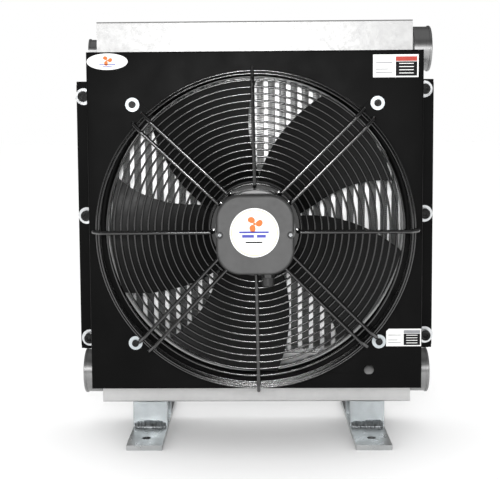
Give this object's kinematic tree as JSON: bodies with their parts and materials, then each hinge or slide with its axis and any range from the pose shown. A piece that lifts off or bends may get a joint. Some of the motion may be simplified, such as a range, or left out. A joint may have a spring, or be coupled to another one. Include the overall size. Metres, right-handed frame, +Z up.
{
  "type": "hydraulic oil cooler",
  "caption": "Air-blast hydraulic oil cooler: bar-and-plate core between two tanks, sheet shroud with a guarded axial fan, threaded oil ports and floor feet.",
  "frame": {"origin": "on the floor, in the middle of the four foot holes", "axes": "+Z up; the fan and guard face -Y; +X is to the right seen from the fan side"},
  "size_m": [0.56, 0.3576, 0.6545],
  "materials": {
    "aluminium_raw": "bead-blasted aluminium",
    "aluminium_machined": "fine turned",
    "aluminium_fin": "rolled foil",
    "steel_black": "satin black powder coat",
    "wire_black": "glossy black powder coat",
    "blade_black": "satin black paint",
    "zinc_bright": "blue zinc plating",
    "zinc_white": "bright zinc plating",
    "screw_black": "black oxide",
    "motor_metal": "die cast",
    "bearing_steel": "ground",
    "box_plastic": "textured moulding",
    "box_black": "textured moulding",
    "rubber_black": "matt",
    "copper_wire": "enamelled",
    "lamination": "stamped stack",
    "label_white": "printed vinyl",
    "weld_metal": "weld bead"
  },
  "bodies": {
    "cooler": {"top_tank": "aluminium_raw", "bottom_tank": "aluminium_raw", "header_plates": "aluminium_raw", "tank_end_caps": "aluminium_raw", "oil_passages": "aluminium_raw", "air_fins": "aluminium_fin", "oil_turbulators": "aluminium_fin", "core_side_plates": "aluminium_raw", "oil_ports": "aluminium_machined", "auxiliary_port": "aluminium_machined", "plug_seal": "copper_wire", "port_plug": "zinc_white", "left_side_bracket": "steel_black", "right_side_bracket": "steel_black", "bracket_screws": "zinc_white", "fan_shroud": "steel_black", "shroud_bolts": "screw_black", "shroud_washers": "zinc_white", "shroud_nuts": "zinc_white", "foot_bars": "zinc_bright", "foot_uprights": "zinc_bright", "foot_saddles": "zinc_bright", "foot_welds": "weld_metal", "foot_bolts": "zinc_white", "guard_face_rings": "wire_black", "guard_wall_rings": "wire_black", "guard_single_arms": "wire_black", "guard_paired_arms": "wire_black", "guard_hub_ring": "wire_black", "guard_lugs": "wire_black", "guard_screws": "screw_black", "guard_washers": "zinc_white", "guard_nuts": "zinc_white", "terminal_box_body": "box_black", "terminal_box_gasket": "rubber_black", "terminal_box_cover": "box_plastic", "cover_screws": "zinc_white", "gland_body": "box_black", "gland_nut": "box_black", "gland_seal": "rubber_black", "gland_locknut": "box_black", "terminal_block": "label_white", "terminal_screws": "copper_wire", "cover_label": "label_white", "stator_carrier": "motor_metal", "motor_screws": "zinc_white", "stator_core": "lamination", "stator_windings": "copper_wire", "bearing_outer_races": "bearing_steel", "corner_badge": "label_white", "upper_label": "label_white", "lower_label": "label_white"},
    "fan_rotor": {"rotor_can": "steel_black", "rotor_cage": "lamination", "motor_shaft": "bearing_steel", "bearing_inner_races": "bearing_steel", "fan_blades": "blade_black"},
    "bearing_cage_set": {"bearing_balls": "bearing_steel", "bearing_cages": "bearing_steel"}
  },
  "joints": [
    {"name": "fan_spin", "type": "hinge", "parent": "cooler", "child": "fan_rotor", "pos_m": [-0.00375, -0.129, 0.3425], "axis": [0, -1, 0], "continuous": true},
    {"name": "bearing_cage_spin", "type": "hinge", "parent": "cooler", "child": "bearing_cage_set", "pos_m": [-0.00375, -0.129, 0.3425], "axis": [0, -1, 0], "continuous": true}
  ],
  "couplings": [
    {"joint": "bearing_cage_spin", "follows": "fan_spin", "ratio": 0.392}
  ]
}
